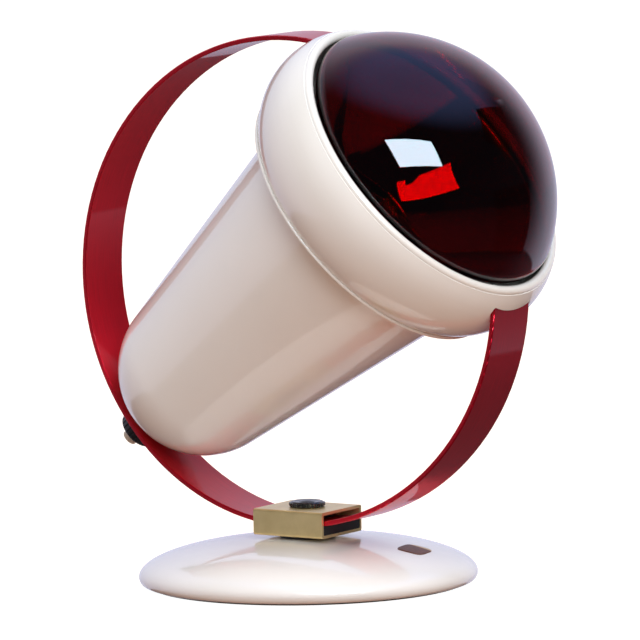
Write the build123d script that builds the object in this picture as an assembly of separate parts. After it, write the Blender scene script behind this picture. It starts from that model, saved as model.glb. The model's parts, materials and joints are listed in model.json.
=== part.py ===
"""Infrared heat lamp: a bullet housing in a metal ring, which slides through a clip on a round base.

Sizes are in millimetres. Z is up, the origin is the middle of the underside of the base, and the
lamp faces -Y. Lamp pieces are drawn in the lamp's own frame, with its axis on Z and the ring's
centre at the origin, and lamp_frame() then turns and lifts them into place.
"""

from build123d import *
from math import atan2, cos, degrees, hypot, radians, sin, sqrt, tan
import os

# --- base -------------------------------------------------------------------------------------
BASE_RADIUS = 68.3          # widest circle of the enamelled shell
BASE_RIM_HEIGHT = 3.6       # height of that circle
BASE_CROWN_HEIGHT = 18.9    # top of the dome before its seat is faced flat
BASE_RIM_TURN = 2.3         # how far the rim turns in below that circle
BASE_WALL = 1.2
BASE_STANDOFF = 0.7         # how far the felt lifts the rim
SEAT_DROP = 0.2             # depth of the flat seat in the crown
LIP_WIDTH = 1.5             # inward lip of the rim
PAD_GAP = 0.2
PAD_THICKNESS = 2.4
WEIGHT_INSET = 8.0          # weight's edge inside the rim's foot
WEIGHT_THICKNESS = 7.0
WEIGHT_BOSS_RADIUS = 11.0
WEIGHT_POCKET_RADIUS = 9.0
WEIGHT_POCKET_DEPTH = 6.6

# --- swivel bolt and its stack ----------------------------------------------------------------
BOLT_RADIUS = 3.0
BOLT_HOLE_GAP = 0.3         # clearance holes in the base's pieces
RUNNING_GAP = 0.05          # radial play where a piece turns
BOLT_HEAD_RADIUS = 5.5
BOLT_HEAD_HEIGHT = 1.9
DISC_RADIUS = 11.2
DISC_THICKNESS = 1.4
WASHER_RADIUS = 6.2
WASHER_THICKNESS = 1.0
SPRING_HEIGHT = 1.3
SPRING_THICKNESS = 0.7
NUT_WIDTH = 10.0            # across flats
NUT_HEIGHT = 3.0
BOLT_TAIL = 0.4             # what stands out of the nut

# --- ring -------------------------------------------------------------------------------------
RING_RADIUS = 99.0          # outer
RING_THICKNESS = 2.0
RING_WIDTH = 26.0
RING_EDGE = 0.5             # rounding of the band's edges
TAB_LENGTH = 3.0
TAB_INSET = 0.9             # middle of the tab to the collar; its edges are fitted to the wall
SLOT_GAP = 0.4              # play of the band in the collar's slots
SLOT_SWEEP = 12.0           # degrees of the ring over which the slot is cut
LAMP_ELEVATION = 38.6       # degrees above level, as stored

# --- clip -------------------------------------------------------------------------------------
CLIP_LENGTH = 33.0          # along the band
CLIP_WALL = 1.2
CLIP_CORNER = 1.0
CLIP_SIDE_GAP = 0.3         # band to side wall
CRADLE_THICKNESS = 2.2      # at its lowest place
CRADLE_GAP = 0.1            # cradle to side wall
CRADLE_INSET = 0.1          # cradle's ends behind the box's ends
BAND_GAP = 0.3              # band to cradle and band to shoe
HEAD_POCKET_GAP = 0.6       # cradle round the bolt's head
SHOE_LENGTH = 16.0
SHOE_WIDTH = 18.0
SHOE_THICKNESS = 2.6        # in the middle
SHOE_TRAVEL = 0.5
SHOE_TOP_GAP = 0.3          # shoe to roof at the end of its travel
THREAD_RADIUS = 3.0
ROOF_COLLAR_WALL = 1.3      # drawn collar of the roof, tapped for the screw
ROOF_COLLAR_HEIGHT = 1.0
KNOB_RADIUS = 7.3
KNOB_HEIGHT = 2.0
KNOB_GAP = 0.3              # under the knob and round the drawn collar
KNOB_TEETH = 22
KNOB_TOOTH_RADIUS = 0.6
KNOB_DOME_RADIUS = 3.4
KNOB_DOME_HEIGHT = 0.7
KNOB_DISH = 0.3

# --- rear housing -----------------------------------------------------------------------------
TUBE_STEP = 15.8            # taper's outer radius at the seam, inside the collar's widest
TUBE_TAPER = 9.2            # degrees
HOUSING_WALL = 1.4
REAR_ROUND = 36.0           # axial half axis of the rounded end
REAR_LAND = 1.9             # thickness of the rear wall inside the band
REAR_OVERRUN = 0.5          # rounded end's apex beyond the band's inside, faced to the band
FLARE_RADIUS = 7.0
FLANGE_THICKNESS = 1.2
FLANGE_STANDOUT = 0.8       # flange beyond the collar's rear edge
SPIGOT_HEIGHT = 2.5
SPIGOT_WALL = 1.0
SPIGOT_GAP = 0.2

# --- front collar -----------------------------------------------------------------------------
SEAM_INSET = 52.5           # plane of the seam, along the lamp's axis from the ring's front
COLLAR_RADIUS = 69.0        # at its widest
COLLAR_WIDEST = 18.9        # from the seam to its widest circle
COLLAR_BULGE = 28.5         # radius of the bulge, seen in section
COLLAR_WALL = 1.4
LIP_REACH = 32.6            # from the seam to the middle of the lip
LIP_RADIUS = 2.0            # rolled bead at the opening

# --- bulb -------------------------------------------------------------------------------------
BULB_GAP = 1.0              # bulb to the collar's lip
BULB_CROWN_EXTRA = 7.3      # sphere of the ruby face, beyond the bulb's radius
BULB_CROWN_REACH = 6.4      # from the seam to the centre of that sphere
BULB_STANDOFF = 42.2        # from the housing's rear land to the bulb's contact
BULB_SHOULDER = 6.0
BULB_BOWL_LEAN = 31.6       # degrees, side of the parabolic bowl to the axis at the shoulder
BULB_NECK_RADIUS = 20.0
BULB_NECK_BLEND = 5.0       # rounding from the bowl to the neck
BULB_NECK_TAPER = 6.0       # length over which the neck closes to the cap
GLASS_WALL = 1.2
CAP_RADIUS = 13.2
CAP_WALL = 0.4
CAP_LENGTH = 25.0
CAP_OVERLAP = 3.5           # cap over glass
INSULATOR_LENGTH = 4.0
INSULATOR_TIP_RADIUS = 6.0
CONTACT_RADIUS = 4.5
CONTACT_HEIGHT = 1.5
STEM_RADIUS = 7.0
STEM_LENGTH = 40.0
STEM_FLARE_LENGTH = 10.0
LEAD_RADIUS = 0.4
SUPPORT_RADIUS = 0.25
FILAMENT_RADIUS = 6.0       # of its horseshoe
FILAMENT_COIL = 0.7         # radius of the coiled wire
FILAMENT_ARC = 300.0        # degrees
FILAMENT_HEIGHT = 34.0      # above the stem, near the bowl's focus

# --- lampholder -------------------------------------------------------------------------------
HOLDER_RADIUS = 21.5
HOLDER_FIT = 0.15
SHELL_WALL = 0.5
SHELL_LENGTH = 19.0
CHAMBER_DEPTH = 8.0
HOLDER_FLOOR = 6.0
WIRING_RADIUS = 17.0
WIRING_DEPTH = 9.0
HOLDER_CAP_LENGTH = 12.5
HOLDER_CAP_WALL = 2.2
HUB_RADIUS = 8.5
HUB_LENGTH = 7.0
CONTACT_STRIP = 0.5
CONTACT_WIDTH = 6.0
CONTACT_REACH = 8.0
TERMINAL_OFFSET = 9.0
TERMINAL_RADIUS = 1.5
TERMINAL_HEAD_RADIUS = 2.8
TERMINAL_HEAD_HEIGHT = 2.2

# --- cable entry ------------------------------------------------------------------------------
NIPPLE_RADIUS = 5.0
NIPPLE_BORE = 3.6
NIPPLE_STANDOUT = 4.0       # beyond the band
NIPPLE_HOLE_GAP = 0.3
LOCKNUT_WIDTH = 13.0
LOCKNUT_HEIGHT = 3.0
GLAND_RADIUS = 8.3
GLAND_LENGTH = 6.8
GLAND_EDGE = 1.4
GLAND_RIBS = 24
GLAND_RIB_RADIUS = 0.5
SLEEVE_RADIUS = 3.2
SLEEVE_BORE = 2.2
SLEEVE_STANDOUT = 4.5
SLEEVE_COLLAR_RADIUS = 4.3
SLEEVE_COLLAR_HEIGHT = 1.4
SLEEVE_GAP = 0.1

# --- places that follow from the sizes --------------------------------------------------------
BASE_FOOT_RADIUS = BASE_RADIUS - BASE_RIM_TURN
WEIGHT_RADIUS = BASE_FOOT_RADIUS - WEIGHT_INSET
SEAT_HEIGHT = BASE_CROWN_HEIGHT - SEAT_DROP
CLIP_BOTTOM = SEAT_HEIGHT + DISC_THICKNESS
CLIP_FLOOR = CLIP_BOTTOM + CLIP_WALL
BAND_BOTTOM = CLIP_FLOOR + CRADLE_THICKNESS + BAND_GAP
RING_HEIGHT = BAND_BOTTOM + RING_RADIUS
RING_INNER = RING_RADIUS - RING_THICKNESS
RING_MIDDLE = RING_RADIUS - RING_THICKNESS / 2
SHOE_TOP = BAND_BOTTOM + RING_THICKNESS + BAND_GAP + SHOE_THICKNESS
CLIP_ROOF = SHOE_TOP + SHOE_TRAVEL + SHOE_TOP_GAP
CLIP_TOP = CLIP_ROOF + CLIP_WALL
CLIP_INNER_WIDTH = RING_WIDTH + 2 * CLIP_SIDE_GAP
CLIP_WIDTH = CLIP_INNER_WIDTH + 2 * CLIP_WALL
WEIGHT_TOP = PAD_THICKNESS + WEIGHT_THICKNESS
POCKET_TOP = PAD_THICKNESS + WEIGHT_POCKET_DEPTH
SEAM_AT = RING_RADIUS - SEAM_INSET
COLLAR_WIDEST_AT = SEAM_AT + COLLAR_WIDEST
LIP_AT = SEAM_AT + LIP_REACH
COLLAR_CENTRE = COLLAR_RADIUS - COLLAR_BULGE
COLLAR_INNER_BULGE = COLLAR_BULGE - COLLAR_WALL
TUBE_FRONT_RADIUS = COLLAR_RADIUS - TUBE_STEP
REAR_FLOOR = REAR_LAND - RING_INNER
LIP_MIDDLE = COLLAR_CENTRE + sqrt((COLLAR_BULGE - LIP_RADIUS) ** 2 - (LIP_AT - COLLAR_WIDEST_AT) ** 2)
BULB_RADIUS = LIP_MIDDLE - LIP_RADIUS - BULB_GAP
BULB_CROWN_RADIUS = BULB_RADIUS + BULB_CROWN_EXTRA
BULB_CROWN_AT = SEAM_AT + BULB_CROWN_REACH
CONTACT_AT = REAR_FLOOR + BULB_STANDOFF
INSULATOR_AT = CONTACT_AT + CONTACT_HEIGHT
CAP_AT = INSULATOR_AT + INSULATOR_LENGTH
CAP_TOP = CAP_AT + CAP_LENGTH
NECK_END = CAP_TOP - CAP_OVERLAP
NECK_END_RADIUS = CAP_RADIUS - CAP_WALL
STEM_TOP = NECK_END + STEM_LENGTH
HOLDER_CHAMBER_AT = CONTACT_AT - CONTACT_STRIP - 2.5
HOLDER_FRONT = HOLDER_CHAMBER_AT + CHAMBER_DEPTH + SHELL_LENGTH
HOLDER_FLOOR_AT = HOLDER_CHAMBER_AT - HOLDER_FLOOR
HOLDER_REAR = HOLDER_FLOOR_AT - WIRING_DEPTH
HOLDER_CAP_REAR = HOLDER_REAR - HOLDER_CAP_LENGTH
NIPPLE_END = -RING_RADIUS - NIPPLE_STANDOUT
GLAND_END = -RING_RADIUS - GLAND_LENGTH


# --- helpers ----------------------------------------------------------------------------------
def lamp_frame(part):
    """Turns a lamp piece from its own frame to its place in the ring, solid by solid."""
    place = Pos(0, 0, RING_HEIGHT) * Rot(90 - LAMP_ELEVATION, 0, 0)
    return Compound([place * solid for solid in part.solids()])


def turned(section):
    """Revolves a section, drawn as radius and height, about the Z axis."""
    return revolve(Plane.XZ * section, Axis.Z)


def polygon(*points):
    """Face inside a closed outline of straight sides."""
    return make_face(Polyline(*points, close=True))


def tube(outer, inner, low, high):
    """Round tube or ring on the Z axis between two heights."""
    return turned(polygon((inner, low), (outer, low), (outer, high), (inner, high)))


def rod(radius, low, high, x=0.0, y=0.0):
    """Round rod parallel to the Z axis."""
    return Pos(x, y, low) * Cylinder(radius, high - low, align=(Align.CENTER, Align.CENTER, Align.MIN))


def block(width, depth, low, high):
    """Box on the Z axis between two heights."""
    return Pos(0, 0, low) * Box(width, depth, high - low, align=(Align.CENTER, Align.CENTER, Align.MIN))


def cross_cylinder(radius, height):
    """Cylinder across the lamp, along X, at the ring's centre."""
    return Pos(0, 0, RING_HEIGHT) * Rot(0, 90, 0) * Cylinder(radius, height)


def box_face(left, right, low, high):
    """Upright rectangle of a turned section."""
    return polygon((left, low), (right, low), (right, high), (left, high))


def soften(section, corner, radius):
    """Rounds the corner of a section that is nearest to a point."""
    return fillet(section.vertices().sort_by_distance(corner)[0], radius)


# --- base -------------------------------------------------------------------------------------
def dome_section(inset):
    """Half section of the base's dome, inset by a wall: crown and skirt are quarter ellipses."""
    radius = BASE_RADIUS - inset
    crown = BASE_CROWN_HEIGHT - BASE_RIM_HEIGHT - inset
    skirt = BASE_RIM_HEIGHT - BASE_STANDOFF - inset
    foot = BASE_RIM_HEIGHT - skirt
    return make_face([
        EllipticalCenterArc((0, BASE_RIM_HEIGHT), radius, crown, 0, arc_size=90),
        EllipticalCenterArc(
            (BASE_FOOT_RADIUS, BASE_RIM_HEIGHT), radius - BASE_FOOT_RADIUS, skirt, -90, arc_size=90),
        Line((BASE_FOOT_RADIUS, foot), (0, foot)),
        Line((0, foot), (0, BASE_RIM_HEIGHT + crown)),
    ])


def base_shell():
    """Pressed dome with its rim turned under, a flat seat on the crown and the bolt's hole."""
    section = dome_section(0) - dome_section(BASE_WALL)
    section -= box_face(0, BASE_RADIUS, SEAT_HEIGHT, BASE_CROWN_HEIGHT + 1)
    shell = turned(section)
    shell -= rod(BASE_FOOT_RADIUS - LIP_WIDTH, 0, BASE_STANDOFF + BASE_WALL)
    return shell - rod(BOLT_RADIUS + BOLT_HOLE_GAP, POCKET_TOP, BASE_CROWN_HEIGHT)


def base_weight():
    """Cast disc with a boss that meets the crown and a pocket for the bolt's nut."""
    hole = BOLT_RADIUS + BOLT_HOLE_GAP
    section = polygon(
        (hole, BASE_CROWN_HEIGHT), (WEIGHT_BOSS_RADIUS, BASE_CROWN_HEIGHT), (WEIGHT_BOSS_RADIUS, WEIGHT_TOP),
        (WEIGHT_RADIUS, WEIGHT_TOP), (WEIGHT_RADIUS, PAD_THICKNESS),
        (WEIGHT_POCKET_RADIUS, PAD_THICKNESS), (WEIGHT_POCKET_RADIUS, POCKET_TOP), (hole, POCKET_TOP),
    )
    return turned(section & dome_section(BASE_WALL))


def base_pad():
    """Felt disc, glued under the weight inside the rim's lip."""
    return rod(BASE_FOOT_RADIUS - LIP_WIDTH - PAD_GAP, 0, PAD_THICKNESS)


# --- swivel -----------------------------------------------------------------------------------
def swivel_disc():
    """Friction disc between the base's seat and the clip box."""
    return tube(DISC_RADIUS, BOLT_RADIUS + BOLT_HOLE_GAP, SEAT_HEIGHT, CLIP_BOTTOM)


def swivel_bolt():
    """Low-headed bolt: its head holds the clip box down, its shank is the swivel's axle."""
    head = rod(BOLT_HEAD_RADIUS, CLIP_FLOOR, CLIP_FLOOR + BOLT_HEAD_HEIGHT)
    head = fillet(head.edges().group_by(Axis.Z)[-1], BOLT_HEAD_HEIGHT / 2)
    return head + rod(BOLT_RADIUS, swivel_nut_bottom() - BOLT_TAIL, CLIP_FLOOR)


def swivel_washer():
    """Flat washer in the weight's pocket."""
    return tube(WASHER_RADIUS, BOLT_RADIUS + BOLT_HOLE_GAP, POCKET_TOP - WASHER_THICKNESS, POCKET_TOP)


def swivel_spring():
    """Cupped spring washer that keeps the swivel stiff."""
    top = POCKET_TOP - WASHER_THICKNESS
    bottom = top - SPRING_HEIGHT
    hole = BOLT_RADIUS + BOLT_HOLE_GAP
    return turned(polygon(
        (hole, bottom), (hole, bottom + SPRING_THICKNESS), (WASHER_RADIUS, top),
        (WASHER_RADIUS, top - SPRING_THICKNESS),
    ))


def swivel_nut_bottom():
    """Height of the underside of the swivel's nut."""
    return POCKET_TOP - WASHER_THICKNESS - SPRING_HEIGHT - NUT_HEIGHT


def hexagon_nut(width, bore, low, high):
    """Hexagon nut on the Z axis, by its width across flats."""
    body = Pos(0, 0, low) * extrude(RegularPolygon(width / 2, 6, major_radius=False), high - low)
    return body - rod(bore, low, high)


def swivel_nut():
    """Hexagon nut that holds the whole base together."""
    bottom = swivel_nut_bottom()
    return hexagon_nut(NUT_WIDTH, BOLT_RADIUS, bottom, bottom + NUT_HEIGHT)


# --- clip -------------------------------------------------------------------------------------
def box_section(width, low, high, corner):
    """Rounded rectangle across the clip box, run along Y for the box's length."""
    face = Plane.XZ * Pos(0, (low + high) / 2) * RectangleRounded(width, high - low, corner)
    return extrude(face, CLIP_LENGTH / 2, both=True)


def clip_box():
    """Folded brass box, open at both ends, with the tapped collar drawn up from its roof."""
    box = box_section(CLIP_WIDTH, CLIP_BOTTOM, CLIP_TOP, CLIP_CORNER)
    box -= box_section(CLIP_INNER_WIDTH, CLIP_FLOOR, CLIP_ROOF, CLIP_CORNER / 2)
    box += rod(THREAD_RADIUS + ROOF_COLLAR_WALL, CLIP_ROOF, CLIP_TOP + ROOF_COLLAR_HEIGHT)
    box -= rod(THREAD_RADIUS + RUNNING_GAP, CLIP_ROOF, CLIP_TOP + ROOF_COLLAR_HEIGHT)
    return box - rod(BOLT_RADIUS + RUNNING_GAP, CLIP_BOTTOM, CLIP_FLOOR)


def clip_cradle():
    """Saddle on the box's floor, hollowed to the band's curve and cleared for the bolt's head."""
    width = CLIP_INNER_WIDTH - 2 * CRADLE_GAP
    saddle = block(width, CLIP_LENGTH - 2 * CRADLE_INSET, CLIP_FLOOR, BAND_BOTTOM + RING_THICKNESS)
    saddle = fillet(saddle.edges().filter_by(Axis.Y).group_by(Axis.Z)[0], CLIP_CORNER / 2)
    saddle -= cross_cylinder(RING_RADIUS + BAND_GAP, 2 * RING_WIDTH)
    return saddle - rod(BOLT_HEAD_RADIUS + HEAD_POCKET_GAP, CLIP_FLOOR, SHOE_TOP)


def clamp_shoe():
    """Pad under the clamp screw, rounded to the inside of the band."""
    shoe = block(SHOE_WIDTH, SHOE_LENGTH, BAND_BOTTOM, SHOE_TOP)
    return shoe & cross_cylinder(RING_INNER - BAND_GAP, 2 * RING_WIDTH)


def clamp_screw():
    """Low thumb screw: toothed rim, dished top with a small dome, and a hollow underside."""
    bottom = CLIP_TOP + KNOB_GAP
    top = bottom + KNOB_HEIGHT
    hollow = THREAD_RADIUS + ROOF_COLLAR_WALL + KNOB_GAP
    ceiling = CLIP_TOP + ROOF_COLLAR_HEIGHT + KNOB_GAP
    rim = KNOB_RADIUS - 2 * KNOB_TOOTH_RADIUS
    head = turned(polygon(
        (THREAD_RADIUS, ceiling), (hollow, ceiling), (hollow, bottom), (KNOB_RADIUS - 0.3, bottom),
        (KNOB_RADIUS, bottom + 0.4), (KNOB_RADIUS, top - KNOB_TOOTH_RADIUS), (rim, top),
        (KNOB_DOME_RADIUS, top - KNOB_DISH), (0, top - KNOB_DISH), (0, ceiling),
    ))
    notches = PolarLocations(KNOB_RADIUS + KNOB_TOOTH_RADIUS / 3, KNOB_TEETH) * rod(
        KNOB_TOOTH_RADIUS, bottom, top)
    dome_sphere = (KNOB_DOME_RADIUS**2 + KNOB_DOME_HEIGHT**2) / (2 * KNOB_DOME_HEIGHT)
    dome = Pos(0, 0, top - KNOB_DISH + KNOB_DOME_HEIGHT - dome_sphere) * Sphere(dome_sphere)
    dome &= rod(KNOB_DOME_RADIUS, top - KNOB_DISH, top + KNOB_DOME_HEIGHT)
    return head - notches + dome + rod(THREAD_RADIUS, SHOE_TOP, top - KNOB_DISH)


# --- ring -------------------------------------------------------------------------------------
def tab_reach():
    """Radius of the tab's middle surface about the centre of the collar's bulge."""
    return COLLAR_INNER_BULGE - TAB_INSET - RING_THICKNESS / 2


def band_end_angle():
    """Angle from the lamp's axis at which the band turns along the inside of the collar."""
    reach = tab_reach()
    offset = hypot(COLLAR_WIDEST_AT, COLLAR_CENTRE)
    cosine = (RING_MIDDLE**2 + offset**2 - reach**2) / (2 * RING_MIDDLE * offset)
    return degrees(atan2(COLLAR_CENTRE, COLLAR_WIDEST_AT) + atan2(sqrt(1 - cosine**2), cosine))


def band_piece(section, centre, radius, start, sweep):
    """Bends a flat section about an axis along X. Angles run from the lamp's axis towards +Y."""
    y, z = centre
    arm = Vector(0, sin(radians(start)), cos(radians(start)))
    along = Vector(0, cos(radians(start)), -sin(radians(start)))
    place = Plane(origin=Vector(0, y, z) + arm * radius, x_dir=arm, z_dir=along)
    return revolve(place * section, Axis((0, y, z), (-1, 0, 0)), sweep)


def ring_band():
    """Flat band in one arc, its ends set forward inside the collar, with a hole at the rear."""
    section = RectangleRounded(RING_THICKNESS, RING_WIDTH, RING_EDGE)
    end = band_end_angle()
    band = band_piece(section, (0, 0), RING_MIDDLE, end, 360 - 2 * end)
    reach = tab_reach()
    bend_y = RING_MIDDLE * sin(radians(end))
    bend_z = RING_MIDDLE * cos(radians(end))
    tab_angle = degrees(atan2(bend_y - COLLAR_CENTRE, bend_z - COLLAR_WIDEST_AT))
    tab_sweep = degrees(TAB_LENGTH / reach)
    tab = band_piece(section, (COLLAR_CENTRE, COLLAR_WIDEST_AT), reach, tab_angle - tab_sweep, tab_sweep)
    bend = Pos(0, bend_y, bend_z) * Rot(0, 90, 0) * Cylinder(
        RING_THICKNESS / 2, RING_WIDTH - 2 * RING_EDGE)
    for piece in (tab, bend):
        band += piece
        band += piece.mirror(Plane.XZ)
    band -= rod(NIPPLE_RADIUS + NIPPLE_HOLE_GAP, -RING_RADIUS - 1, REAR_FLOOR)
    return band - front_collar()


def slot_cutter():
    """The band's end with play all round, which leaves the upper slot in the collar."""
    section = RectangleRounded(RING_THICKNESS + 2 * SLOT_GAP, RING_WIDTH + 2 * SLOT_GAP, RING_THICKNESS / 2)
    return band_piece(section, (0, 0), RING_MIDDLE, band_end_angle(), SLOT_SWEEP)


# --- collar -----------------------------------------------------------------------------------
def bulge(radius, along):
    """Radius of the collar at a place along the axis, for one face of its wall."""
    return COLLAR_CENTRE + sqrt(radius**2 - (along - COLLAR_WIDEST_AT) ** 2)


def front_collar():
    """Bulged collar: one arc in section, a rolled bead at the opening and two slots for the band."""
    centre = Pos(COLLAR_CENTRE, COLLAR_WIDEST_AT)
    section = centre * (Circle(COLLAR_BULGE) - Circle(COLLAR_INNER_BULGE))
    section &= Pos(COLLAR_CENTRE + COLLAR_BULGE / 2, (SEAM_AT + LIP_AT) / 2) * Rectangle(
        COLLAR_BULGE, LIP_AT - SEAM_AT)
    section += Pos(LIP_MIDDLE, LIP_AT) * Circle(LIP_RADIUS)
    collar = turned(section)
    slot = slot_cutter()
    return collar - slot - slot.mirror(Plane.XZ)


# --- rear housing -----------------------------------------------------------------------------
def tube_radius(along):
    """Outer radius of the tapered tube at a place along the axis."""
    return TUBE_FRONT_RADIUS - tan(radians(TUBE_TAPER)) * (SEAM_AT - along)


def bullet_section(inset, front):
    """Half section of the taper and its rounded end, inset by a wall; the two meet smoothly."""
    slope = tan(radians(TUBE_TAPER))
    centre = REAR_ROUND - RING_INNER - REAR_OVERRUN
    depth = REAR_ROUND - inset
    line_radius = tube_radius(centre) - inset / cos(radians(TUBE_TAPER))
    width = sqrt(line_radius**2 - (depth * slope) ** 2)
    turn = degrees(atan2(depth * slope, width))
    end = EllipticalCenterArc((0, centre), width, depth, -90, arc_size=90 - turn)
    front_radius = line_radius + slope * (front - centre)
    return make_face([
        end,
        Line(end @ 1, (front_radius, front)),
        Line((front_radius, front), (0, front)),
        Line((0, front), end @ 0),
    ])


def rear_housing():
    """Tapered shell with a rear faced to the band, a flared front flange and a spigot for the collar."""
    outer_edge = bulge(COLLAR_BULGE, SEAM_AT) + FLANGE_STANDOUT
    back = SEAM_AT - FLANGE_THICKNESS
    section = bullet_section(0, SEAM_AT) + box_face(0, outer_edge, back, SEAM_AT)
    section -= bullet_section(HOUSING_WALL, SEAM_AT) - box_face(0, HUB_RADIUS, -RING_RADIUS, REAR_FLOOR)
    section = soften(section, (tube_radius(back), back), FLARE_RADIUS)
    inner_front = TUBE_FRONT_RADIUS - HOUSING_WALL / cos(radians(TUBE_TAPER))
    section = soften(section, (inner_front, SEAM_AT), FLARE_RADIUS + HOUSING_WALL)
    section = fillet(section.vertices().group_by(Axis.X)[-1], FLANGE_THICKNESS / 2.2)
    spigot_outer = bulge(COLLAR_INNER_BULGE, SEAM_AT) - SPIGOT_GAP
    housing = turned(section) + tube(spigot_outer, spigot_outer - SPIGOT_WALL, SEAM_AT, SEAM_AT + SPIGOT_HEIGHT)
    housing &= Rot(0, 90, 0) * Cylinder(RING_INNER, 2 * RING_RADIUS)
    return housing - rod(NIPPLE_RADIUS + NIPPLE_HOLE_GAP, -RING_RADIUS, REAR_FLOOR)


# --- cable entry ------------------------------------------------------------------------------
def entry_nipple():
    """Threaded tube that carries the lampholder and clamps band and housing together."""
    return tube(NIPPLE_RADIUS, NIPPLE_BORE, NIPPLE_END, HOLDER_CAP_REAR + HUB_LENGTH)


def inner_locknut():
    """Nut inside the housing, on the rear land."""
    return hexagon_nut(LOCKNUT_WIDTH, NIPPLE_RADIUS, REAR_FLOOR, REAR_FLOOR + LOCKNUT_HEIGHT)


def gland_nut():
    """Ribbed nut outside the band, closed at its end round the cord's sleeve."""
    end_wall = NIPPLE_END - SLEEVE_COLLAR_HEIGHT
    nut = turned(polygon(
        (NIPPLE_RADIUS, -RING_RADIUS), (GLAND_RADIUS, -RING_RADIUS), (GLAND_RADIUS, GLAND_END),
        (SLEEVE_RADIUS + SLEEVE_GAP, GLAND_END), (SLEEVE_RADIUS + SLEEVE_GAP, end_wall),
        (SLEEVE_COLLAR_RADIUS + SLEEVE_GAP, end_wall), (SLEEVE_COLLAR_RADIUS + SLEEVE_GAP, NIPPLE_END),
        (NIPPLE_RADIUS, NIPPLE_END),
    ))
    rim = nut.edges().group_by(Axis.Z)[0].sort_by(SortBy.RADIUS)[-1]
    nut = fillet(rim, GLAND_EDGE)
    grooves = PolarLocations(GLAND_RADIUS + GLAND_RIB_RADIUS / 4, GLAND_RIBS) * rod(
        GLAND_RIB_RADIUS, GLAND_END, -RING_RADIUS)
    return nut - grooves


def cord_sleeve():
    """Soft sleeve held between nipple and gland nut, open for the cord."""
    low = NIPPLE_END - SLEEVE_COLLAR_HEIGHT
    collar = tube(SLEEVE_COLLAR_RADIUS, SLEEVE_BORE, low, NIPPLE_END)
    return collar + tube(SLEEVE_RADIUS, SLEEVE_BORE, GLAND_END - SLEEVE_STANDOUT, NIPPLE_END)


# --- lampholder -------------------------------------------------------------------------------
def holder_body():
    """Porcelain front: bore for the thread shell, chamber for the contact, wiring space behind."""
    shell_outer = CAP_RADIUS + HOLDER_FIT + SHELL_WALL
    bore = shell_outer + HOLDER_FIT
    shelf = HOLDER_CHAMBER_AT + CHAMBER_DEPTH
    body = turned(polygon(
        (bore, HOLDER_FRONT), (HOLDER_RADIUS - 2, HOLDER_FRONT), (HOLDER_RADIUS, HOLDER_FRONT - 2),
        (HOLDER_RADIUS, HOLDER_REAR), (WIRING_RADIUS, HOLDER_REAR), (WIRING_RADIUS, HOLDER_FLOOR_AT),
        (0, HOLDER_FLOOR_AT), (0, HOLDER_CHAMBER_AT), (CAP_RADIUS, HOLDER_CHAMBER_AT),
        (CAP_RADIUS, shelf), (bore, shelf),
    ))
    for side in (-1, 1):
        body -= rod(TERMINAL_RADIUS, HOLDER_FLOOR_AT, HOLDER_CHAMBER_AT, y=side * TERMINAL_OFFSET)
    return body


def holder_cap():
    """Rear cap of the lampholder, with a threaded hub on the nipple."""
    high = HOLDER_CAP_REAR + HUB_LENGTH
    inside = HOLDER_CAP_REAR + HOLDER_CAP_WALL
    shoulder = HOLDER_REAR - HOLDER_CAP_LENGTH * 0.4
    wall = HOLDER_RADIUS - HOLDER_CAP_WALL
    return turned(polygon(
        (HOLDER_RADIUS, HOLDER_REAR), (HOLDER_RADIUS, shoulder),
        (HUB_RADIUS + HOLDER_CAP_WALL, HOLDER_CAP_REAR), (NIPPLE_RADIUS, HOLDER_CAP_REAR),
        (NIPPLE_RADIUS, high), (HUB_RADIUS, high), (HUB_RADIUS, inside),
        (HUB_RADIUS + HOLDER_CAP_WALL, inside), (wall, shoulder + HOLDER_CAP_WALL / 2), (wall, HOLDER_REAR),
    ))


def holder_thread():
    """Brass shell that takes the bulb's screw cap."""
    inner = CAP_RADIUS + HOLDER_FIT
    low = HOLDER_CHAMBER_AT + CHAMBER_DEPTH
    return tube(inner + SHELL_WALL, inner, low, HOLDER_FRONT)


def holder_contact():
    """Folded contact strip: it lies on the chamber's floor and springs up under the bulb."""
    top = CONTACT_AT
    y_back = -CONTACT_REACH
    strip = Plane.YZ * polygon(
        (y_back, HOLDER_CHAMBER_AT), (CONTACT_REACH / 2, HOLDER_CHAMBER_AT), (CONTACT_REACH / 2, top),
        (-CONTACT_REACH / 2, top), (-CONTACT_REACH / 2, top - CONTACT_STRIP),
        (CONTACT_REACH / 2 - CONTACT_STRIP, top - CONTACT_STRIP),
        (CONTACT_REACH / 2 - CONTACT_STRIP, HOLDER_CHAMBER_AT + CONTACT_STRIP),
        (y_back, HOLDER_CHAMBER_AT + CONTACT_STRIP),
    )
    return extrude(strip, CONTACT_WIDTH / 2, both=True)


def holder_terminals():
    """Two terminal screws in the wiring space, through the floor."""
    screws = []
    for side in (-1, 1):
        head = rod(TERMINAL_HEAD_RADIUS, HOLDER_FLOOR_AT - TERMINAL_HEAD_HEIGHT, HOLDER_FLOOR_AT,
                   y=side * TERMINAL_OFFSET)
        shank = rod(TERMINAL_RADIUS, HOLDER_FLOOR_AT, HOLDER_CHAMBER_AT, y=side * TERMINAL_OFFSET)
        screws.append(head + shank)
    return Compound(children=screws)


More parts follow.
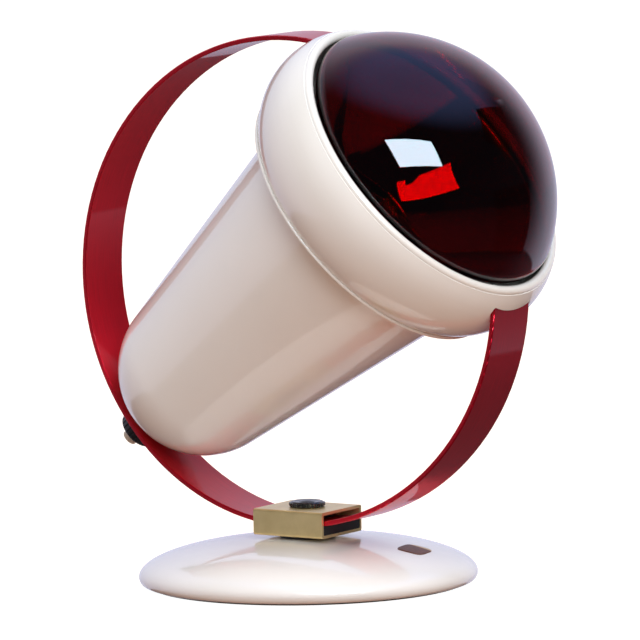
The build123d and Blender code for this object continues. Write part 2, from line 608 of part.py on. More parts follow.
# --- bulb -------------------------------------------------------------------------------------
def bowl_lines(rim, inset):
    """Parabola from the shoulder to the neck, its rounding into the neck, and the neck's upper end."""
    neck = BULB_NECK_RADIUS - inset
    blend = BULB_NECK_BLEND + inset
    focus = rim.X * tan(radians(BULB_BOWL_LEAN)) / 2
    vertex_at = rim.Y - rim.X**2 / (4 * focus)
    end = neck + blend
    end_at = vertex_at + end**2 / (4 * focus)
    middle = ((rim.X + end) / 2, vertex_at + rim.X * end / (4 * focus))
    corner_at = end_at - blend * end / (2 * focus)
    bowl = Bezier((rim.X, rim.Y), middle, (end, end_at))
    rounding = Bezier((end, end_at), (neck, corner_at), (neck, corner_at - blend))
    return bowl, rounding, (neck, corner_at - blend)


def bulb_section(inset, neck_bottom):
    """Half section of the bulb: spherical face, round shoulder, reflector bowl and neck."""
    crown = BULB_CROWN_RADIUS - inset
    shoulder = BULB_SHOULDER - inset
    shoulder_out = BULB_RADIUS - BULB_SHOULDER
    shoulder_up = sqrt((BULB_CROWN_RADIUS - BULB_SHOULDER) ** 2 - shoulder_out**2)
    shoulder_at = BULB_CROWN_AT + shoulder_up
    lean = degrees(atan2(shoulder_up, shoulder_out))
    face = CenterArc((0, BULB_CROWN_AT), crown, lean, 90 - lean)
    turn = CenterArc((shoulder_out, shoulder_at), shoulder, -BULB_BOWL_LEAN, BULB_BOWL_LEAN + lean)
    bowl, rounding, neck_top = bowl_lines(turn @ 0, inset)
    neck = neck_top[0]
    end = NECK_END_RADIUS - inset
    taper_at = NECK_END + BULB_NECK_TAPER
    return make_face([
        face, turn, bowl, rounding,
        Line(neck_top, (neck, taper_at + BULB_NECK_TAPER)),
        Line((neck, taper_at + BULB_NECK_TAPER), (end, taper_at)),
        Line((end, taper_at), (end, neck_bottom)),
        Line((end, neck_bottom), (0, neck_bottom)),
        Line((0, neck_bottom), face @ 1),
    ])


def bulb_glass():
    """One blown envelope, open at the neck where the stem is sealed in."""
    return turned(bulb_section(0, NECK_END) - bulb_section(GLASS_WALL, NECK_END))


def bulb_cap():
    """Brass screw cap, cemented over the neck."""
    return tube(CAP_RADIUS, CAP_RADIUS - CAP_WALL, CAP_AT, CAP_TOP)


def bulb_insulator():
    """Black glass cone that closes the cap."""
    middle = CAP_AT - INSULATOR_LENGTH / 2
    return turned(polygon(
        (0, INSULATOR_AT), (INSULATOR_TIP_RADIUS, INSULATOR_AT), (CAP_RADIUS - CAP_WALL, middle),
        (CAP_RADIUS - CAP_WALL, CAP_AT), (0, CAP_AT),
    )) + rod(CAP_RADIUS - CAP_WALL, CAP_AT, CAP_AT + CAP_WALL)


def bulb_contact():
    """Solder contact at the very end of the bulb."""
    return turned(polygon(
        (0, CONTACT_AT), (CONTACT_RADIUS - 0.8, CONTACT_AT), (CONTACT_RADIUS, INSULATOR_AT), (0, INSULATOR_AT),
    ))


def bulb_stem():
    """Glass stem with its flare sealed in the neck."""
    flare = NECK_END_RADIUS - GLASS_WALL
    return turned(polygon(
        (0, NECK_END), (flare, NECK_END), (flare, NECK_END + 1), (STEM_RADIUS, NECK_END + STEM_FLARE_LENGTH),
        (STEM_RADIUS, STEM_TOP), (0, STEM_TOP),
    ))


def filament_places(angles, radius, low, high):
    """Wires parallel to the axis, at given angles round the filament's circle."""
    wires = [
        rod(radius, low, high, FILAMENT_RADIUS * cos(radians(a)), FILAMENT_RADIUS * sin(radians(a)))
        for a in angles
    ]
    return Compound(children=wires)


def bulb_leads():
    """Two lead wires from the stem to the filament's ends."""
    gap = (360 - FILAMENT_ARC) / 2
    return filament_places((gap, -gap), LEAD_RADIUS, STEM_TOP, filament_height() - FILAMENT_COIL)


def bulb_supports():
    """Three anchors that hold the filament's horseshoe."""
    return filament_places((90, 180, 270), SUPPORT_RADIUS, STEM_TOP, filament_height() - FILAMENT_COIL)


def filament_height():
    """Place of the filament along the axis."""
    return STEM_TOP + FILAMENT_HEIGHT


def bulb_filament():
    """Coiled filament, drawn as the tube that its coil fills."""
    gap = (360 - FILAMENT_ARC) / 2
    start = Rot(0, 0, gap) * Pos(FILAMENT_RADIUS, 0, filament_height()) * Rot(90, 0, 0) * Circle(FILAMENT_COIL)
    return revolve(start, Axis.Z, FILAMENT_ARC)


# --- writing ----------------------------------------------------------------------------------
STANDING_PIECES = (
    base_shell, base_weight, base_pad, swivel_disc, swivel_bolt, swivel_washer, swivel_spring, swivel_nut,
    clip_box, clip_cradle, clamp_shoe, clamp_screw,
)
LAMP_PIECES = (
    ring_band, front_collar, rear_housing, entry_nipple, inner_locknut, gland_nut, cord_sleeve,
    holder_body, holder_cap, holder_thread, holder_contact, holder_terminals,
    bulb_glass, bulb_cap, bulb_insulator, bulb_contact, bulb_stem, bulb_leads, bulb_supports, bulb_filament,
)


def write_parts():
    """Builds every piece and writes it to its own STEP file."""
    os.makedirs("parts", exist_ok=True)
    for make in STANDING_PIECES:
        export_step(make(), f"parts/{make.__name__}.step")
    for make in LAMP_PIECES:
        export_step(lamp_frame(make()), f"parts/{make.__name__}.step")


write_parts()
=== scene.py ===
import json
from math import atan2, cos, pi, radians, sin

import bpy
import numpy as np
from mathutils import Matrix, Vector


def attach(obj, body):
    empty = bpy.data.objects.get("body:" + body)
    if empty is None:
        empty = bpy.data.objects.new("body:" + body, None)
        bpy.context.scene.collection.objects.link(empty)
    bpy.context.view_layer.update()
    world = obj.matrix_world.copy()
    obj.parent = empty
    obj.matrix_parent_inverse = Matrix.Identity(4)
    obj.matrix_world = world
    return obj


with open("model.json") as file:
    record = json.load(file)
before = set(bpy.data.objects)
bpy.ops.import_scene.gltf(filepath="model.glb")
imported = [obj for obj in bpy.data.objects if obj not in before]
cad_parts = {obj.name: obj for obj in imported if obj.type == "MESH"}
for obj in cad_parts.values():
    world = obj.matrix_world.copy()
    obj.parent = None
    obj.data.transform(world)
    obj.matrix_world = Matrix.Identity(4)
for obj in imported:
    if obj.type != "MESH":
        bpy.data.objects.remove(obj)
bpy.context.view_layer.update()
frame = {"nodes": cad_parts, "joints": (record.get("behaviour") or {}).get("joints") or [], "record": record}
nodes = frame["nodes"]


# === Camera ===================================================================================
# A long lens a few metres off, in front of the lamp and on its own right, looks down on it a little.
# The camera leans slightly, and its target lies just below and in front of the ring's centre.
RING_CENTRE = Vector(next(j["pos_m"] for j in frame["joints"] if j["name"] == "head_tilt"))
CAMERA_AZIMUTH = radians(-56.6)
CAMERA_ELEVATION = radians(6.4)
CAMERA_ROLL = radians(-1.1)
CAMERA_DISTANCE = 3.2
TARGET_SHIFT = Vector((0, -0.0079, -0.0162))
CAMERA_TARGET = RING_CENTRE + TARGET_SHIFT
IMAGE_WIDTH = 640
FOCAL_PIXELS = 7980


def heading(azimuth, elevation):
    """Unit vector: azimuth 0 points along -Y and 90 degrees along +X, elevation lifts it."""
    return Vector((sin(azimuth) * cos(elevation), -cos(azimuth) * cos(elevation), sin(elevation)))


def aimed(azimuth, elevation, roll, distance, target):
    """Matrix of a camera or lamp that looks at a target from a heading and a distance."""
    back = heading(azimuth, elevation)
    level = Vector((cos(azimuth), sin(azimuth), 0))
    upright = back.cross(level)
    right = level * cos(roll) + upright * sin(roll)
    up = upright * cos(roll) - level * sin(roll)
    matrix = Matrix((right, up, back)).transposed().to_4x4()
    matrix.translation = target + back * distance
    return matrix


lens = bpy.data.cameras.new("camera")
lens.sensor_width = 36.0
lens.lens = lens.sensor_width * FOCAL_PIXELS / IMAGE_WIDTH
lens.clip_end = 20.0
camera = bpy.data.objects.new("camera", lens)
bpy.context.scene.collection.objects.link(camera)
camera.matrix_world = aimed(CAMERA_AZIMUTH, CAMERA_ELEVATION, CAMERA_ROLL, CAMERA_DISTANCE, CAMERA_TARGET)
bpy.context.scene.camera = camera
bpy.context.scene.view_settings.view_transform = "Standard"


# === Studio ===================================================================================
# A white table top that fills the view, four soft square lamps, three of them on the camera's side,
# and paper cards. The cards stand where gloss mirrors them: a bright window and two dark panels.
FLOOR_RADIUS = 4.0
FLOOR_DROP = 0.0002
FLOOR_COLOUR = (0.40, 0.22, 0.13)
FLOOR_GLOW = (0.96, 1.0, 1.0)
CARD_DISTANCE = 2.4
WINDOW_CORNERS = ((-58, 47), (-18, 42), (-16, 25.5), (-47, 28))
WINDOW_COLOUR = (0.61, 0.87, 1.0)
WINDOW_STRENGTH = 23.0
DARK_PANELS = (
    ((18, 6), (53, 5), (55, -22), (24, -26)),
    ((44, 44), (68, 31), (42, 20), (27, 31)),
)
PANEL_COLOUR = (0.02, 0.015, 0.02)
LAMPS = (
    ("key", 6, 44, 2.4, 1.0, 24.5, (0.96, 0.99, 1.0)),
    ("front", -44, 20, 2.6, 1.2, 28.0, (0.95, 0.99, 1.0)),
    ("top", -75, 70, 2.2, 1.8, 18.0, (1.0, 0.99, 0.99)),
    ("side", -150, 18, 2.6, 1.4, 2.0, (0.96, 0.97, 1.0)),
)
WHITE = (1.0, 1.0, 1.0)
UPWARDS = (0, 0, 1)
LIGHT_ABOVE = (0.60, 0.60, 0.62)
LIGHT_LEVEL = (0.36, 0.36, 0.37)
LIGHT_RIGHT = (0.10, 0.09, 0.09)
RIGHT_AZIMUTH = radians(35)
RIGHT_LIMITS = (-0.1, 0.8)
ABOVE_LIMITS = (0.15, 0.75)
MIRROR_NEAR = (0.022, 0.026, 0.036)
MIRROR_FAR = (0.70, 0.72, 0.92)
MIRROR_TABLE = (0.12, 0.09, 0.11)
MIRROR_CEILING = (0.26, 0.44, 0.98)
FAR_SIDE = (0.49, 0.79, -0.37)
FAR_LIMITS = (-0.1, 0.5)
CEILING_SIDE = (0.30, -0.10, 0.95)
CEILING_LIMITS = (0.74, 0.95)
TABLE_EDGE = -0.36
TABLE_BLUR = 0.01


def surface(name, points, wrap_rows=False, wrap_columns=False):
    """Mesh through a grid of points: every cell of the grid is one quad, and a wrapped side closes."""
    rows, columns = points.shape[:2]
    index = np.arange(rows * columns).reshape(rows, columns)
    if wrap_rows:
        index = np.vstack((index, index[:1]))
    if wrap_columns:
        index = np.hstack((index, index[:, :1]))
    quads = np.stack((index[:-1, :-1], index[:-1, 1:], index[1:, 1:], index[1:, :-1]), axis=-1)
    mesh = bpy.data.meshes.new(name)
    mesh.from_pydata(points.reshape(-1, 3).tolist(), [], quads.reshape(-1, 4).tolist())
    mesh.update()
    piece = bpy.data.objects.new(name, mesh)
    bpy.context.scene.collection.objects.link(piece)
    return piece


def glow(name, colour, strength):
    """Plain emission material of a studio card."""
    material = bpy.data.materials.new(name)
    material.use_nodes = True
    tree = material.node_tree
    tree.nodes.clear()
    light = tree.nodes.new("ShaderNodeEmission")
    light.inputs["Color"].default_value = (*colour, 1)
    light.inputs["Strength"].default_value = strength
    out = tree.nodes.new("ShaderNodeOutputMaterial")
    tree.links.new(light.outputs[0], out.inputs["Surface"])
    return material


def card(name, corners, material):
    """Flat card between four headings, seen only in gloss and through glass."""
    spots = [RING_CENTRE + heading(radians(a), radians(e)) * CARD_DISTANCE for a, e in corners]
    piece = surface(name, np.array((spots[:2], (spots[3], spots[2]))))
    piece.data.materials.append(material)
    piece.visible_camera = False
    piece.visible_diffuse = False
    piece.visible_shadow = False


def make_floor():
    """Disc on the table's level: radius times the cosine and sine of the turn. It glows almost white
    to the camera alone, and its paper sends only a dim, warm light back to the object."""
    spokes = np.linspace(0, 2 * pi, 97)[:-1]
    radii, turns = np.meshgrid(np.linspace(0, FLOOR_RADIUS, 3), spokes, indexing="ij")
    level = np.full_like(radii, -FLOOR_DROP)
    points = np.stack((radii * np.cos(turns), radii * np.sin(turns), level), axis=-1)
    floor = surface("floor", points, wrap_columns=True)
    material = glow("floor_white", FLOOR_GLOW, 1)
    tree = material.node_tree
    paper = tree.nodes.new("ShaderNodeBsdfDiffuse")
    paper.inputs["Color"].default_value = (*FLOOR_COLOUR, 1)
    path = tree.nodes.new("ShaderNodeLightPath")
    both = tree.nodes.new("ShaderNodeAddShader")
    light, out = tree.nodes["Emission"], tree.nodes["Material Output"]
    tree.links.new(path.outputs["Is Camera Ray"], light.inputs["Strength"])
    tree.links.new(light.outputs[0], both.inputs[0])
    tree.links.new(paper.outputs[0], both.inputs[1])
    tree.links.new(both.outputs[0], out.inputs["Surface"])
    floor.data.materials.append(material)
    floor.visible_glossy = False


def mixed(tree, share, first, second):
    """Mix of two colours, each a colour or a socket."""
    node = tree.nodes.new("ShaderNodeMix")
    node.data_type = "RGBA"
    tree.links.new(share, node.inputs["Factor"])
    for socket, colour in ((node.inputs["A"], first), (node.inputs["B"], second)):
        if isinstance(colour, tuple):
            socket.default_value = (*colour, 1)
        else:
            tree.links.new(colour, socket)
    return node.outputs["Result"]


def maths(tree, operation, first, second):
    """One step of arithmetic on sockets or numbers."""
    node = tree.nodes.new("ShaderNodeMath")
    node.operation = operation
    for socket, value in zip(node.inputs, (first, second)):
        if isinstance(value, (int, float)):
            socket.default_value = value
        else:
            tree.links.new(value, socket)
    return node.outputs[0]


def make_room():
    """World, as a function of direction: white to the camera; a dark near side, a pale far side, a dim
    table and a blue ceiling to gloss and glass; for everything else light from above and from all
    round, with little from the camera's right."""
    world = bpy.data.worlds.new("room")
    bpy.context.scene.world = world
    world.use_nodes = True
    tree = world.node_tree
    tree.nodes.clear()
    new, link = tree.nodes.new, tree.links.new
    place = new("ShaderNodeTexCoord").outputs["Generated"]

    def toward(direction, low, high):
        """Share of a direction: 0 where the dot product is low, 1 where it is high."""
        dot = new("ShaderNodeVectorMath")
        dot.operation = "DOT_PRODUCT"
        dot.inputs[1].default_value = direction
        link(place, dot.inputs[0])
        blend = new("ShaderNodeMapRange")
        blend.interpolation_type = "SMOOTHSTEP"
        blend.inputs["From Min"].default_value = low
        blend.inputs["From Max"].default_value = high
        link(dot.outputs["Value"], blend.inputs["Value"])
        return blend.outputs["Result"]

    far = toward(Vector(FAR_SIDE), *FAR_LIMITS)
    backdrop = mixed(tree, far, MIRROR_NEAR, MIRROR_FAR)
    table = mixed(tree, far, MIRROR_NEAR, MIRROR_TABLE)
    backdrop = mixed(tree, toward(Vector(CEILING_SIDE), *CEILING_LIMITS), backdrop, MIRROR_CEILING)
    over_table = toward(Vector(UPWARDS), TABLE_EDGE - TABLE_BLUR, TABLE_EDGE + TABLE_BLUR)
    mirrored = mixed(tree, over_table, table, backdrop)
    level = mixed(tree, toward(heading(RIGHT_AZIMUTH, 0), *RIGHT_LIMITS), LIGHT_LEVEL, LIGHT_RIGHT)
    light = mixed(tree, toward(Vector(UPWARDS), *ABOVE_LIMITS), level, LIGHT_ABOVE)
    path = new("ShaderNodeLightPath")
    seen = maths(tree, "MAXIMUM", path.outputs["Is Glossy Ray"], path.outputs["Is Transmission Ray"])
    back = new("ShaderNodeBackground")
    out = new("ShaderNodeOutputWorld")
    surroundings = mixed(tree, seen, light, mirrored)
    link(mixed(tree, path.outputs["Is Camera Ray"], surroundings, WHITE), back.inputs["Color"])
    link(back.outputs[0], out.inputs["Surface"])


make_floor()
make_room()
card("window_card", WINDOW_CORNERS, glow("window_light", WINDOW_COLOUR, WINDOW_STRENGTH))
panel_paper = glow("panel_dark", PANEL_COLOUR, 1.0)
for number, corners in enumerate(DARK_PANELS):
    card(f"dark_card_{number}", corners, panel_paper)
for name, azimuth, elevation, distance, size, watts, colour in LAMPS:
    light = bpy.data.lights.new(name, "AREA")
    light.shape = "SQUARE"
    light.size = size
    light.energy = watts
    light.color = colour
    lamp = bpy.data.objects.new(name, light)
    bpy.context.scene.collection.objects.link(lamp)
    lamp.matrix_world = aimed(radians(azimuth), radians(elevation), 0, distance, RING_CENTRE)
    lamp.visible_glossy = False
    lamp.visible_transmission = False


# === Base =====================================================================================
# A pressed steel dome in gloss stoving enamel, its rim rolled under, bolted down on a cast weight
# and lifted off the table by a felt disc. The enamel has faint clouds, a fine skin and a few specks.
BASE_ENAMEL = ((0.86, 0.83, 0.81), (0.83, 0.80, 0.78))
SPECK_COLOUR = (0.16, 0.10, 0.07)


def principled(name, colour, roughness, metallic=0.0):
    """Principled material with its plain sockets set; gives the material, its shader and its tree."""
    material = bpy.data.materials.new(name)
    material.use_nodes = True
    shader = material.node_tree.nodes["Principled BSDF"]
    shader.inputs["Base Color"].default_value = (*colour, 1)
    shader.inputs["Roughness"].default_value = roughness
    shader.inputs["Metallic"].default_value = metallic
    return material, shader, material.node_tree


def noise(tree, scale, detail=2.0, vector=None):
    """Noise in the piece's own coordinates, or on another vector; scale is in waves per unit."""
    texture = tree.nodes.new("ShaderNodeTexNoise")
    texture.inputs["Scale"].default_value = scale
    texture.inputs["Detail"].default_value = detail
    if vector is None:
        vector = tree.nodes.new("ShaderNodeTexCoord").outputs["Object"]
    tree.links.new(vector, texture.inputs["Vector"])
    return texture.outputs["Fac"]


def ramp(tree, value, low, high, to_low=0.0, to_high=1.0):
    """Straight ramp of a value between two limits."""
    node = tree.nodes.new("ShaderNodeMapRange")
    node.inputs["From Min"].default_value = low
    node.inputs["From Max"].default_value = high
    node.inputs["To Min"].default_value = to_low
    node.inputs["To Max"].default_value = to_high
    tree.links.new(value, node.inputs["Value"])
    return node.outputs["Result"]


def bump(tree, shader, height, depth, strength=1.0):
    """Gives a shader and its coat the relief of a height pattern; depth is in metres."""
    node = tree.nodes.new("ShaderNodeBump")
    node.inputs["Distance"].default_value = depth
    node.inputs["Strength"].default_value = strength
    tree.links.new(height, node.inputs["Height"])
    tree.links.new(node.outputs["Normal"], shader.inputs["Normal"])
    tree.links.new(node.outputs["Normal"], shader.inputs["Coat Normal"])


def specks(tree, cells, size, kept):
    """Sparse dots: one point in each cell of a Voronoi pattern, of which a share is kept."""
    texture = tree.nodes.new("ShaderNodeTexVoronoi")
    texture.inputs["Scale"].default_value = cells
    place = tree.nodes.new("ShaderNodeTexCoord")
    tree.links.new(place.outputs["Object"], texture.inputs["Vector"])
    split = tree.nodes.new("ShaderNodeSeparateColor")
    tree.links.new(texture.outputs["Color"], split.inputs["Color"])
    chosen = maths(tree, "GREATER_THAN", split.outputs[0], 1 - kept)
    near = ramp(tree, texture.outputs["Distance"], size, size * 0.5)
    return maths(tree, "MULTIPLY", chosen, near)


def enamel(name, light, dark):
    """Gloss stoving enamel: cloudy colour, rare specks, a hard clear skin with a faint ripple."""
    material, shader, tree = principled(name, light, roughness=0.32)
    shader.inputs["Coat Weight"].default_value = 1.0
    shader.inputs["Coat Roughness"].default_value = 0.035
    clouds = ramp(tree, noise(tree, scale=14, detail=3), low=0.35, high=0.7)
    colour = mixed(tree, clouds, light, dark)
    colour = mixed(tree, specks(tree, cells=48, size=0.014, kept=0.05), colour, SPECK_COLOUR)
    tree.links.new(colour, shader.inputs["Base Color"])
    bump(tree, shader, noise(tree, scale=420, detail=1), depth=0.00002, strength=0.5)
    return material


def dress(material, *names):
    """Gives CAD nodes their finish."""
    for name in names:
        mesh = nodes[name].data
        mesh.materials.clear()
        mesh.materials.append(material)


dress(enamel("base_enamel", *BASE_ENAMEL), "base_shell")


# === Base plate ===============================================================================
# A small blank plate of thin brown plastic lies on the front of the dome. Its corners are round,
# and a strip at its right end is tan.
PLATE_AZIMUTH = radians(11)
PLATE_AT = 0.0462
PLATE_HALF = (0.0075, 0.0056)
PLATE_THICKNESS = 0.0003
PLATE_COLOURS = ((0.15, 0.055, 0.030), (0.10, 0.035, 0.020))
TAN_COLOUR = (0.50, 0.36, 0.22)
TAN_EDGE = (0.0138, 0.0142)
DOME_RADIUS = 0.0683
DOME_RIM = 0.0036
DOME_RISE = 0.0153


def base_plate():
    """Superellipse laid on the dome: across and down it are half sizes times share times the signed
    square root of the cosine and sine of the turn, its height the dome's ellipse plus the lift."""
    shares = np.array((0.001, 0.4, 0.7, 0.9, 0.97, 1.0, 1.0))
    lifts = np.array((1, 1, 1, 1, 0.95, 0.6, -0.3)) * PLATE_THICKNESS
    turns = np.linspace(0, 2 * pi, 64, endpoint=False)
    across = PLATE_HALF[0] * shares[:, None] * np.sign(np.cos(turns)) * np.sqrt(abs(np.cos(turns)))
    down = PLATE_HALF[1] * shares[:, None] * np.sign(np.sin(turns)) * np.sqrt(abs(np.sin(turns)))
    radial = PLATE_AT + down
    x = radial * sin(PLATE_AZIMUTH) + across * cos(PLATE_AZIMUTH)
    y = -radial * cos(PLATE_AZIMUTH) + across * sin(PLATE_AZIMUTH)
    dome = DOME_RIM + DOME_RISE * np.sqrt(1 - (x ** 2 + y ** 2) / DOME_RADIUS ** 2)
    plate = surface("base_plate", np.stack((x, y, dome + lifts[:, None]), axis=-1), wrap_columns=True)
    plate.data.shade_smooth()
    material, shader, tree = principled("brown_plate", PLATE_COLOURS[0], roughness=0.45)
    shader.inputs["Specular IOR Level"].default_value = 0.2
    grain = noise(tree, scale=700, detail=3)
    brown = mixed(tree, ramp(tree, grain, low=0.35, high=0.65), *PLATE_COLOURS)
    place = tree.nodes.new("ShaderNodeTexCoord")
    split = tree.nodes.new("ShaderNodeSeparateXYZ")
    tree.links.new(place.outputs["Object"], split.inputs[0])
    end = ramp(tree, split.outputs["X"], *TAN_EDGE)
    tree.links.new(mixed(tree, end, brown, TAN_COLOUR), shader.inputs["Base Color"])
    plate.data.materials.append(material)
    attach(plate, "base")


base_plate()


# === Felt, weight and swivel stack ============================================================
# A dark pressed-felt disc is glued under the cast-iron weight. One bolt, washer, spring washer and
# nut of zinc-plated steel hold base, weight and clip together on a black fibre disc.
FELT_COLOURS = ((0.030, 0.024, 0.022), (0.075, 0.062, 0.055))
IRON_COLOURS = ((0.045, 0.045, 0.048), (0.09, 0.085, 0.08))
ZINC_COLOURS = ((0.55, 0.56, 0.58), (0.42, 0.43, 0.46))
FIBRE_COLOURS = ((0.022, 0.020, 0.022), (0.040, 0.036, 0.038))


def two_tone(name, colours, roughness, scale, relief, metallic=0.0):
    """Finish of two tones that wander into each other, with a relief of the same grain."""
    material, shader, tree = principled(name, colours[0], roughness, metallic)
    grain = noise(tree, scale, detail=4)
    colour = mixed(tree, ramp(tree, grain, low=0.35, high=0.65), *colours)
    tree.links.new(colour, shader.inputs["Base Color"])
    bump(tree, shader, grain, relief)
    return material


felt = two_tone("felt", FELT_COLOURS, roughness=0.95, scale=1600, relief=0.0004)
iron = two_tone("cast_iron", IRON_COLOURS, roughness=0.7, scale=700, relief=0.0002, metallic=0.6)
zinc = two_tone("zinc_steel", ZINC_COLOURS, roughness=0.35, scale=500, relief=0.00002, metallic=1.0)
fibre = two_tone("black_fibre", FIBRE_COLOURS, roughness=0.55, scale=900, relief=0.00003)
dress(felt, "base_pad")
dress(iron, "base_weight")
dress(zinc, "swivel_bolt", "swivel_washer", "swivel_spring", "swivel_nut")
dress(fibre, "swivel_disc")


# === Clip =====================================================================================
# A box folded from satin brass strip, a little stained, with a black saddle on which the ring's band
# slides. A black moulded thumb screw with a toothed rim stands over a black pad on the band.
BRASS_COLOURS = ((0.88, 0.68, 0.33), (0.78, 0.59, 0.27))
CLIP_DARK = (0.012, 0.010, 0.010)
KNOB_COLOURS = ((0.012, 0.012, 0.014), (0.022, 0.021, 0.024))


def satin_brass():
    """Brass with a fine random grain and small dark stains."""
    material, shader, tree = principled("satin_brass", BRASS_COLOURS[0], roughness=0.34, metallic=0.75)
    grain = noise(tree, scale=2600, detail=3)
    clouds = noise(tree, scale=160, detail=4)
    colour = mixed(tree, ramp(tree, clouds, low=0.3, high=0.75), *BRASS_COLOURS)
    colour = mixed(tree, specks(tree, cells=260, size=0.06, kept=0.03), colour, SPECK_COLOUR)
    tree.links.new(colour, shader.inputs["Base Color"])
    satin = ramp(tree, grain, low=0.3, high=0.7, to_low=0.28, to_high=0.42)
    tree.links.new(satin, shader.inputs["Roughness"])
    bump(tree, shader, grain, depth=0.00003)
    return material


clip_black = two_tone("clip_black", (CLIP_DARK, CLIP_DARK), roughness=0.6, scale=900, relief=0.00002)
black_plastic = two_tone("black_plastic", KNOB_COLOURS, roughness=0.22, scale=300, relief=0.00001)
dress(satin_brass(), "clip_box")
dress(clip_black, "clip_cradle", "clamp_shoe")
dress(black_plastic, "clamp_screw")


# === Ring =====================================================================================
# A flat aluminium band rolled to one arc, finely brushed along its length and dipped in clear
# crimson lacquer. Its ends go through slots into the collar.
LACQUER_COLOURS = ((0.86, 0.006, 0.026), (0.74, 0.005, 0.020))
STREAKS_ACROSS = 2200
STREAKS_ALONG = 6


def crimson_lacquer():
    """Brushed metal under crimson lacquer: streaks run round the ring, the coat is smooth. They are
    noise with many waves in a metre across the band and few in a radian along it."""
    material, shader, tree = principled("crimson_lacquer", LACQUER_COLOURS[0], roughness=0.45, metallic=0.85)
    shader.inputs["Coat Weight"].default_value = 0.6
    shader.inputs["Coat Roughness"].default_value = 0.025
    shader.inputs["Anisotropic"].default_value = 0.85
    along = tree.nodes.new("ShaderNodeTangent")
    along.direction_type = "RADIAL"
    along.axis = "X"
    tree.links.new(along.outputs[0], shader.inputs["Tangent"])
    shader.inputs["Anisotropic Rotation"].default_value = 0.25
    place = tree.nodes.new("ShaderNodeTexCoord")
    split = tree.nodes.new("ShaderNodeSeparateXYZ")
    tree.links.new(place.outputs["Object"], split.inputs[0])
    height = maths(tree, "SUBTRACT", split.outputs["Z"], RING_CENTRE.z)
    angle = maths(tree, "ARCTAN2", height, split.outputs["Y"])
    join = tree.nodes.new("ShaderNodeCombineXYZ")
    tree.links.new(maths(tree, "MULTIPLY", split.outputs["X"], STREAKS_ACROSS), join.inputs["X"])
    tree.links.new(maths(tree, "MULTIPLY", angle, STREAKS_ALONG), join.inputs["Y"])
    streaks = noise(tree, scale=1, detail=3, vector=join.outputs[0])
    colour = mixed(tree, ramp(tree, streaks, low=0.3, high=0.7), *LACQUER_COLOURS)
    tree.links.new(colour, shader.inputs["Base Color"])
    return material


dress(crimson_lacquer(), "ring_band")


# === Housing and collar =======================================================================
# Two steel pressings in cream gloss enamel: the bullet with its flared flange, and the bulged
# collar with a rolled bead at the opening, which closes over the flange like a lid.
HOUSING_ENAMEL = ((0.85, 0.835, 0.81), (0.82, 0.795, 0.765))

cream = enamel("cream_enamel", *HOUSING_ENAMEL)
dress(cream, "rear_housing", "front_collar")


# === Cord entry ===============================================================================
# A zinc-plated threaded tube joins ring, housing and lampholder, with a flat nut inside the housing.
# The ribbed nut behind the ring is of the thumb screw's black plastic; a soft cream sleeve for the
# cord stands out of it.
SLEEVE_COLOURS = ((0.62, 0.56, 0.48), (0.52, 0.46, 0.40))

sleeve_plastic = two_tone("sleeve_plastic", SLEEVE_COLOURS, roughness=0.5, scale=400, relief=0.00002)
dress(zinc, "entry_nipple", "inner_locknut")
dress(black_plastic, "gland_nut")
dress(sleeve_plastic, "cord_sleeve")


# === Lampholder ===============================================================================
# A holder of two glazed porcelain halves with a brass thread shell, centre contact and terminal
# screws. It sits hidden inside the housing, on the end of the threaded entry.
PORCELAIN_COLOURS = ((0.80, 0.79, 0.76), (0.74, 0.73, 0.70))
BRIGHT_BRASS = ((0.80, 0.62, 0.30), (0.70, 0.52, 0.24))

porcelain = two_tone("porcelain", PORCELAIN_COLOURS, roughness=0.18, scale=60, relief=0.00001)
brass = two_tone("bright_brass", BRIGHT_BRASS, roughness=0.25, scale=300, relief=0.00001, metallic=1.0)
dress(porcelain, "holder_body", "holder_cap")
dress(brass, "holder_thread", "holder_contact", "holder_terminals")


# === Bulb =====================================================================================
# A blown reflector bulb: ruby glass, silvered inside its parabolic bowl, with a stem, two leads,
# three anchors and a filament of grey wire inside, and a brass cap with a black glass insulator.
RUBY = (0.245, 0.0008, 0.003)
STEM_COLOURS = ((0.75, 0.75, 0.75), (0.7, 0.7, 0.7))
INSULATOR_COLOURS = ((0.01, 0.01, 0.01), (0.02, 0.02, 0.02))
SILVER_COLOUR = (0.9, 0.9, 0.92)
COAT_THICKNESS = 0.00004
COAT_GAP = 0.00012
COAT_RIM = (0.05827, 0.07945)
COAT_FOCUS = 0.017924
COAT_END = 0.0252
BULB_AXIS = -Vector(next(m["axis"] for m in frame["record"]["mounts"] if m["name"] == "cord_entry"))


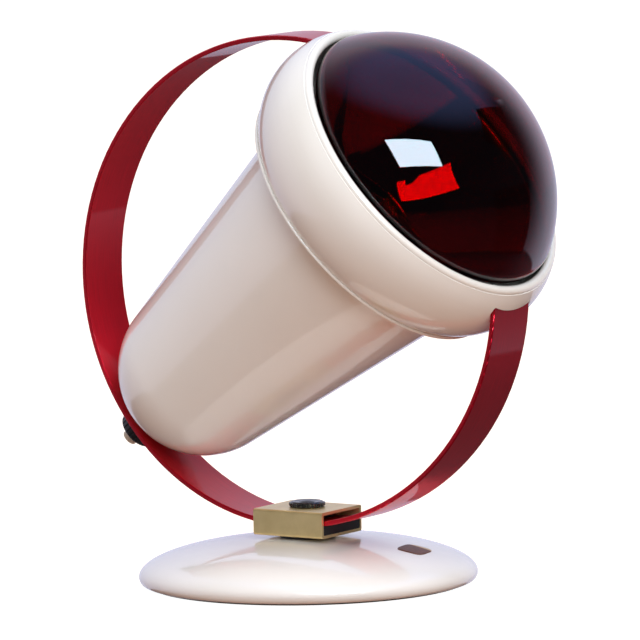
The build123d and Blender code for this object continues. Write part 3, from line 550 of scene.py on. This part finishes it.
def lamp_frame(points):
    """Turns points from the lamp's own frame, with its axis on Z, to their place in the ring."""
    lean = atan2(-BULB_AXIS.y, BULB_AXIS.z)
    x, y, z = points[..., 0], points[..., 1], points[..., 2]
    turned_y = y * cos(lean) - z * sin(lean)
    turned_z = y * sin(lean) + z * cos(lean)
    return np.stack((x, turned_y, turned_z), axis=-1) + np.array(RING_CENTRE)


def turned(profile, steps):
    """Surface of revolution: each point of the profile, a radius and a height, goes round the Z axis."""
    turns = np.linspace(0, 2 * pi, steps, endpoint=False)
    radius, height = profile[:, 0][:, None], profile[:, 1][:, None]
    return np.stack((radius * np.cos(turns), radius * np.sin(turns), height + 0 * turns), axis=-1)


def ruby_glass():
    """Deep ruby glass, so dark that only a bright light comes back from the reflector."""
    material, shader, _ = principled("ruby_glass", RUBY, roughness=0.0)
    shader.inputs["Transmission Weight"].default_value = 1.0
    shader.inputs["IOR"].default_value = 1.52
    return material


def silver_coat():
    """Bright lining of the bowl, a parabola turned round the axis: its height is the rim's less the
    difference of the two squared radii over four times the focal length."""
    radius = np.linspace(COAT_RIM[0] - 2 * COAT_GAP, COAT_END, 60)
    height = COAT_RIM[1] + COAT_GAP - (COAT_RIM[0] ** 2 - radius ** 2) / (4 * COAT_FOCUS)
    outer = np.stack((radius, height), axis=-1)
    inner = outer[::-1] + (0, COAT_THICKNESS)
    points = lamp_frame(turned(np.vstack((outer, inner)), steps=160))
    coat = surface("silver_coat", points, wrap_rows=True, wrap_columns=True)
    coat.data.shade_smooth()
    material, shader, tree = principled("silver_coat", SILVER_COLOUR, roughness=0.02, metallic=1.0)
    bump(tree, shader, noise(tree, scale=60, detail=1), depth=0.0001, strength=0.1)
    coat.data.materials.append(material)
    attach(coat, "lamp")


silver_coat()
clear_stem = two_tone("clear_stem", STEM_COLOURS, roughness=0.1, scale=200, relief=0.00001)
black_glass = two_tone("black_glass", INSULATOR_COLOURS, roughness=0.1, scale=200, relief=0.00001)
dress(ruby_glass(), "bulb_glass")
dress(clear_stem, "bulb_stem")
dress(black_glass, "bulb_insulator")
dress(brass, "bulb_cap", "bulb_contact")
dress(zinc, "bulb_leads", "bulb_supports", "bulb_filament")
